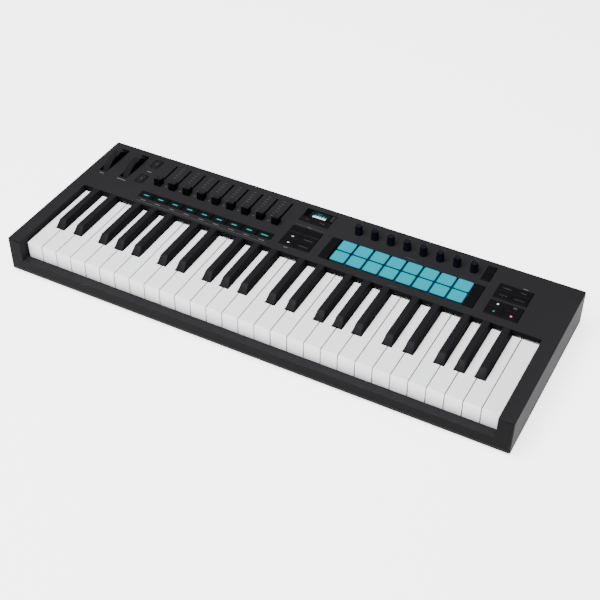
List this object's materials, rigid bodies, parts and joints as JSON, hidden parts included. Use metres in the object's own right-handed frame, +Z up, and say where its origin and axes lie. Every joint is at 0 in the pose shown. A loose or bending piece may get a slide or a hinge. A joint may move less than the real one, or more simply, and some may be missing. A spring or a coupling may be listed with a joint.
{
  "type": "midi keyboard controller",
  "caption": "Desktop keyboard controller with piano-size keys, pitch and modulation wheels, faders, rotary encoders, a small display, glowing drum pads and transport buttons.",
  "frame": {"origin": "on the table under the middle of the case, at the level of the rubber feet", "axes": "+X along the keys to the treble end, +Y from the player to the rear, +Z up"},
  "size_m": [0.725, 0.264, 0.0691],
  "materials": {
    "case": "fine matte texture",
    "pan": "matte",
    "chassis": "zinc plated",
    "board": "solder mask",
    "display": "gloss lens",
    "pad": "translucent silicone lit from below",
    "button": "matte silicone",
    "white_key": "semi gloss",
    "black_key": "satin",
    "cap": "soft matte",
    "wheel": "soft matte"
  },
  "bodies": {
    "case": {"top_case": "case", "bottom_case": "pan", "keybed_chassis": "chassis", "main_board": "board", "display_module": "display"},
    "white_key_01": {"white_key_01": "white_key"},
    "white_key_02": {"white_key_02": "white_key"},
    "white_key_03": {"white_key_03": "white_key"},
    "white_key_04": {"white_key_04": "white_key"},
    "white_key_05": {"white_key_05": "white_key"},
    "white_key_06": {"white_key_06": "white_key"},
    "white_key_07": {"white_key_07": "white_key"},
    "white_key_08": {"white_key_08": "white_key"},
    "white_key_09": {"white_key_09": "white_key"},
    "white_key_10": {"white_key_10": "white_key"},
    "white_key_11": {"white_key_11": "white_key"},
    "white_key_12": {"white_key_12": "white_key"},
    "white_key_13": {"white_key_13": "white_key"},
    "white_key_14": {"white_key_14": "white_key"},
    "white_key_15": {"white_key_15": "white_key"},
    "white_key_16": {"white_key_16": "white_key"},
    "white_key_17": {"white_key_17": "white_key"},
    "white_key_18": {"white_key_18": "white_key"},
    "white_key_19": {"white_key_19": "white_key"},
    "white_key_20": {"white_key_20": "white_key"},
    "white_key_21": {"white_key_21": "white_key"},
    "white_key_22": {"white_key_22": "white_key"},
    "white_key_23": {"white_key_23": "white_key"},
    "white_key_24": {"white_key_24": "white_key"},
    "white_key_25": {"white_key_25": "white_key"},
    "white_key_26": {"white_key_26": "white_key"},
    "white_key_27": {"white_key_27": "white_key"},
    "white_key_28": {"white_key_28": "white_key"},
    "white_key_29": {"white_key_29": "white_key"},
    "black_keys_octave_1": {"black_keys_octave_1": "black_key"},
    "black_keys_octave_2": {"black_keys_octave_2": "black_key"},
    "black_keys_octave_3": {"black_keys_octave_3": "black_key"},
    "black_keys_octave_4": {"black_keys_octave_4": "black_key"},
    "fader_cap_1": {"fader_cap_1": "cap"},
    "fader_cap_2": {"fader_cap_2": "cap"},
    "fader_cap_3": {"fader_cap_3": "cap"},
    "fader_cap_4": {"fader_cap_4": "cap"},
    "fader_cap_5": {"fader_cap_5": "cap"},
    "fader_cap_6": {"fader_cap_6": "cap"},
    "fader_cap_7": {"fader_cap_7": "cap"},
    "fader_cap_8": {"fader_cap_8": "cap"},
    "fader_cap_9": {"fader_cap_9": "cap"},
    "encoder_knob_1": {"encoder_knob_1": "cap"},
    "encoder_knob_2": {"encoder_knob_2": "cap"},
    "encoder_knob_3": {"encoder_knob_3": "cap"},
    "encoder_knob_4": {"encoder_knob_4": "cap"},
    "encoder_knob_5": {"encoder_knob_5": "cap"},
    "encoder_knob_6": {"encoder_knob_6": "cap"},
    "encoder_knob_7": {"encoder_knob_7": "cap"},
    "encoder_knob_8": {"encoder_knob_8": "cap"},
    "pitch_wheel": {"pitch_wheel": "wheel"},
    "mod_wheel": {"mod_wheel": "wheel"},
    "pad_mat": {"pad_mat": "pad"},
    "fader_button_mat": {"fader_button_mat": "button"},
    "function_button_mat": {"function_button_mat": "button"}
  },
  "joints": [
    {"name": "white_key_01_press", "type": "hinge", "parent": "case", "child": "white_key_01", "pos_m": [-0.329, 0.046, 0.03], "axis": [1, 0, 0], "range_deg": [0, 3.5], "stiffness_Nm_per_rad": 0.8, "springref_deg": -6.88},
    {"name": "white_key_02_press", "type": "hinge", "parent": "case", "child": "white_key_02", "pos_m": [-0.3055, 0.046, 0.03], "axis": [1, 0, 0], "range_deg": [0, 3.5], "stiffness_Nm_per_rad": 0.8, "springref_deg": -6.88},
    {"name": "white_key_03_press", "type": "hinge", "parent": "case", "child": "white_key_03", "pos_m": [-0.282, 0.046, 0.03], "axis": [1, 0, 0], "range_deg": [0, 3.5], "stiffness_Nm_per_rad": 0.8, "springref_deg": -6.88},
    {"name": "white_key_04_press", "type": "hinge", "parent": "case", "child": "white_key_04", "pos_m": [-0.2585, 0.046, 0.03], "axis": [1, 0, 0], "range_deg": [0, 3.5], "stiffness_Nm_per_rad": 0.8, "springref_deg": -6.88},
    {"name": "white_key_05_press", "type": "hinge", "parent": "case", "child": "white_key_05", "pos_m": [-0.235, 0.046, 0.03], "axis": [1, 0, 0], "range_deg": [0, 3.5], "stiffness_Nm_per_rad": 0.8, "springref_deg": -6.88},
    {"name": "white_key_06_press", "type": "hinge", "parent": "case", "child": "white_key_06", "pos_m": [-0.2115, 0.046, 0.03], "axis": [1, 0, 0], "range_deg": [0, 3.5], "stiffness_Nm_per_rad": 0.8, "springref_deg": -6.88},
    {"name": "white_key_07_press", "type": "hinge", "parent": "case", "child": "white_key_07", "pos_m": [-0.188, 0.046, 0.03], "axis": [1, 0, 0], "range_deg": [0, 3.5], "stiffness_Nm_per_rad": 0.8, "springref_deg": -6.88},
    {"name": "white_key_08_press", "type": "hinge", "parent": "case", "child": "white_key_08", "pos_m": [-0.1645, 0.046, 0.03], "axis": [1, 0, 0], "range_deg": [0, 3.5], "stiffness_Nm_per_rad": 0.8, "springref_deg": -6.88},
    {"name": "white_key_09_press", "type": "hinge", "parent": "case", "child": "white_key_09", "pos_m": [-0.141, 0.046, 0.03], "axis": [1, 0, 0], "range_deg": [0, 3.5], "stiffness_Nm_per_rad": 0.8, "springref_deg": -6.88},
    {"name": "white_key_10_press", "type": "hinge", "parent": "case", "child": "white_key_10", "pos_m": [-0.1175, 0.046, 0.03], "axis": [1, 0, 0], "range_deg": [0, 3.5], "stiffness_Nm_per_rad": 0.8, "springref_deg": -6.88},
    {"name": "white_key_11_press", "type": "hinge", "parent": "case", "child": "white_key_11", "pos_m": [-0.094, 0.046, 0.03], "axis": [1, 0, 0], "range_deg": [0, 3.5], "stiffness_Nm_per_rad": 0.8, "springref_deg": -6.88},
    {"name": "white_key_12_press", "type": "hinge", "parent": "case", "child": "white_key_12", "pos_m": [-0.0705, 0.046, 0.03], "axis": [1, 0, 0], "range_deg": [0, 3.5], "stiffness_Nm_per_rad": 0.8, "springref_deg": -6.88},
    {"name": "white_key_13_press", "type": "hinge", "parent": "case", "child": "white_key_13", "pos_m": [-0.047, 0.046, 0.03], "axis": [1, 0, 0], "range_deg": [0, 3.5], "stiffness_Nm_per_rad": 0.8, "springref_deg": -6.88},
    {"name": "white_key_14_press", "type": "hinge", "parent": "case", "child": "white_key_14", "pos_m": [-0.0235, 0.046, 0.03], "axis": [1, 0, 0], "range_deg": [0, 3.5], "stiffness_Nm_per_rad": 0.8, "springref_deg": -6.88},
    {"name": "white_key_15_press", "type": "hinge", "parent": "case", "child": "white_key_15", "pos_m": [0, 0.046, 0.03], "axis": [1, 0, 0], "range_deg": [0, 3.5], "stiffness_Nm_per_rad": 0.8, "springref_deg": -6.88},
    {"name": "white_key_16_press", "type": "hinge", "parent": "case", "child": "white_key_16", "pos_m": [0.0235, 0.046, 0.03], "axis": [1, 0, 0], "range_deg": [0, 3.5], "stiffness_Nm_per_rad": 0.8, "springref_deg": -6.88},
    {"name": "white_key_17_press", "type": "hinge", "parent": "case", "child": "white_key_17", "pos_m": [0.047, 0.046, 0.03], "axis": [1, 0, 0], "range_deg": [0, 3.5], "stiffness_Nm_per_rad": 0.8, "springref_deg": -6.88},
    {"name": "white_key_18_press", "type": "hinge", "parent": "case", "child": "white_key_18", "pos_m": [0.0705, 0.046, 0.03], "axis": [1, 0, 0], "range_deg": [0, 3.5], "stiffness_Nm_per_rad": 0.8, "springref_deg": -6.88},
    {"name": "white_key_19_press", "type": "hinge", "parent": "case", "child": "white_key_19", "pos_m": [0.094, 0.046, 0.03], "axis": [1, 0, 0], "range_deg": [0, 3.5], "stiffness_Nm_per_rad": 0.8, "springref_deg": -6.88},
    {"name": "white_key_20_press", "type": "hinge", "parent": "case", "child": "white_key_20", "pos_m": [0.1175, 0.046, 0.03], "axis": [1, 0, 0], "range_deg": [0, 3.5], "stiffness_Nm_per_rad": 0.8, "springref_deg": -6.88},
    {"name": "white_key_21_press", "type": "hinge", "parent": "case", "child": "white_key_21", "pos_m": [0.141, 0.046, 0.03], "axis": [1, 0, 0], "range_deg": [0, 3.5], "stiffness_Nm_per_rad": 0.8, "springref_deg": -6.88},
    {"name": "white_key_22_press", "type": "hinge", "parent": "case", "child": "white_key_22", "pos_m": [0.1645, 0.046, 0.03], "axis": [1, 0, 0], "range_deg": [0, 3.5], "stiffness_Nm_per_rad": 0.8, "springref_deg": -6.88},
    {"name": "white_key_23_press", "type": "hinge", "parent": "case", "child": "white_key_23", "pos_m": [0.188, 0.046, 0.03], "axis": [1, 0, 0], "range_deg": [0, 3.5], "stiffness_Nm_per_rad": 0.8, "springref_deg": -6.88},
    {"name": "white_key_24_press", "type": "hinge", "parent": "case", "child": "white_key_24", "pos_m": [0.2115, 0.046, 0.03], "axis": [1, 0, 0], "range_deg": [0, 3.5], "stiffness_Nm_per_rad": 0.8, "springref_deg": -6.88},
    {"name": "white_key_25_press", "type": "hinge", "parent": "case", "child": "white_key_25", "pos_m": [0.235, 0.046, 0.03], "axis": [1, 0, 0], "range_deg": [0, 3.5], "stiffness_Nm_per_rad": 0.8, "springref_deg": -6.88},
    {"name": "white_key_26_press", "type": "hinge", "parent": "case", "child": "white_key_26", "pos_m": [0.2585, 0.046, 0.03], "axis": [1, 0, 0], "range_deg": [0, 3.5], "stiffness_Nm_per_rad": 0.8, "springref_deg": -6.88},
    {"name": "white_key_27_press", "type": "hinge", "parent": "case", "child": "white_key_27", "pos_m": [0.282, 0.046, 0.03], "axis": [1, 0, 0], "range_deg": [0, 3.5], "stiffness_Nm_per_rad": 0.8, "springref_deg": -6.88},
    {"name": "white_key_28_press", "type": "hinge", "parent": "case", "child": "white_key_28", "pos_m": [0.3055, 0.046, 0.03], "axis": [1, 0, 0], "range_deg": [0, 3.5], "stiffness_Nm_per_rad": 0.8, "springref_deg": -6.88},
    {"name": "white_key_29_press", "type": "hinge", "parent": "case", "child": "white_key_29", "pos_m": [0.329, 0.046, 0.03], "axis": [1, 0, 0], "range_deg": [0, 3.5], "stiffness_Nm_per_rad": 0.8, "springref_deg": -6.88},
    {"name": "black_keys_octave_1_press", "type": "hinge", "parent": "case", "child": "black_keys_octave_1", "pos_m": [-0.25579, 0.046, 0.03], "axis": [1, 0, 0], "range_deg": [0, 4], "stiffness_Nm_per_rad": 2.5, "springref_deg": -6.88},
    {"name": "black_keys_octave_2_press", "type": "hinge", "parent": "case", "child": "black_keys_octave_2", "pos_m": [-0.09129, 0.046, 0.03], "axis": [1, 0, 0], "range_deg": [0, 4], "stiffness_Nm_per_rad": 2.5, "springref_deg": -6.88},
    {"name": "black_keys_octave_3_press", "type": "hinge", "parent": "case", "child": "black_keys_octave_3", "pos_m": [0.07321, 0.046, 0.03], "axis": [1, 0, 0], "range_deg": [0, 4], "stiffness_Nm_per_rad": 2.5, "springref_deg": -6.88},
    {"name": "black_keys_octave_4_press", "type": "hinge", "parent": "case", "child": "black_keys_octave_4", "pos_m": [0.23771, 0.046, 0.03], "axis": [1, 0, 0], "range_deg": [0, 4], "stiffness_Nm_per_rad": 2.5, "springref_deg": -6.88},
    {"name": "fader_1_slide", "type": "slide", "parent": "case", "child": "fader_cap_1", "axis": [0, 1, 0], "range_m": [0, 0.045]},
    {"name": "fader_2_slide", "type": "slide", "parent": "case", "child": "fader_cap_2", "axis": [0, 1, 0], "range_m": [0, 0.045]},
    {"name": "fader_3_slide", "type": "slide", "parent": "case", "child": "fader_cap_3", "axis": [0, 1, 0], "range_m": [0, 0.045]},
    {"name": "fader_4_slide", "type": "slide", "parent": "case", "child": "fader_cap_4", "axis": [0, 1, 0], "range_m": [0, 0.045]},
    {"name": "fader_5_slide", "type": "slide", "parent": "case", "child": "fader_cap_5", "axis": [0, 1, 0], "range_m": [0, 0.045]},
    {"name": "fader_6_slide", "type": "slide", "parent": "case", "child": "fader_cap_6", "axis": [0, 1, 0], "range_m": [0, 0.045]},
    {"name": "fader_7_slide", "type": "slide", "parent": "case", "child": "fader_cap_7", "axis": [0, 1, 0], "range_m": [0, 0.045]},
    {"name": "fader_8_slide", "type": "slide", "parent": "case", "child": "fader_cap_8", "axis": [0, 1, 0], "range_m": [0, 0.045]},
    {"name": "fader_9_slide", "type": "slide", "parent": "case", "child": "fader_cap_9", "axis": [0, 1, 0], "range_m": [0, 0.045]},
    {"name": "encoder_1_turn", "type": "hinge", "parent": "case", "child": "encoder_knob_1", "pos_m": [0.0515, 0.1017, 0.0551], "axis": [0, 0, 1], "continuous": true},
    {"name": "encoder_2_turn", "type": "hinge", "parent": "case", "child": "encoder_knob_2", "pos_m": [0.0754, 0.1017, 0.0551], "axis": [0, 0, 1], "continuous": true},
    {"name": "encoder_3_turn", "type": "hinge", "parent": "case", "child": "encoder_knob_3", "pos_m": [0.0993, 0.1017, 0.0551], "axis": [0, 0, 1], "continuous": true},
    {"name": "encoder_4_turn", "type": "hinge", "parent": "case", "child": "encoder_knob_4", "pos_m": [0.1232, 0.1017, 0.0551], "axis": [0, 0, 1], "continuous": true},
    {"name": "encoder_5_turn", "type": "hinge", "parent": "case", "child": "encoder_knob_5", "pos_m": [0.1471, 0.1017, 0.0551], "axis": [0, 0, 1], "continuous": true},
    {"name": "encoder_6_turn", "type": "hinge", "parent": "case", "child": "encoder_knob_6", "pos_m": [0.171, 0.1017, 0.0551], "axis": [0, 0, 1], "continuous": true},
    {"name": "encoder_7_turn", "type": "hinge", "parent": "case", "child": "encoder_knob_7", "pos_m": [0.1949, 0.1017, 0.0551], "axis": [0, 0, 1], "continuous": true},
    {"name": "encoder_8_turn", "type": "hinge", "parent": "case", "child": "encoder_knob_8", "pos_m": [0.2188, 0.1017, 0.0551], "axis": [0, 0, 1], "continuous": true},
    {"name": "pitch_wheel_turn", "type": "hinge", "parent": "case", "child": "pitch_wheel", "pos_m": [-0.3392, 0.0915, 0.033], "axis": [1, 0, 0], "range_deg": [-30, 30], "stiffness_Nm_per_rad": 0.05},
    {"name": "mod_wheel_turn", "type": "hinge", "parent": "case", "child": "mod_wheel", "pos_m": [-0.3046, 0.0915, 0.033], "axis": [1, 0, 0], "range_deg": [-30, 30]},
    {"name": "pads_press", "type": "slide", "parent": "case", "child": "pad_mat", "axis": [0, 0, -1], "range_m": [0, 0.0008], "stiffness_N_per_m": 3000, "springref_m": -0.0006},
    {"name": "fader_buttons_press", "type": "slide", "parent": "case", "child": "fader_button_mat", "axis": [0, 0, -1], "range_m": [0, 0.0008], "stiffness_N_per_m": 2000, "springref_m": -0.0005},
    {"name": "function_buttons_press", "type": "slide", "parent": "case", "child": "function_button_mat", "axis": [0, 0, -1], "range_m": [0, 0.0008], "stiffness_N_per_m": 2500, "springref_m": -0.0006}
  ]
}
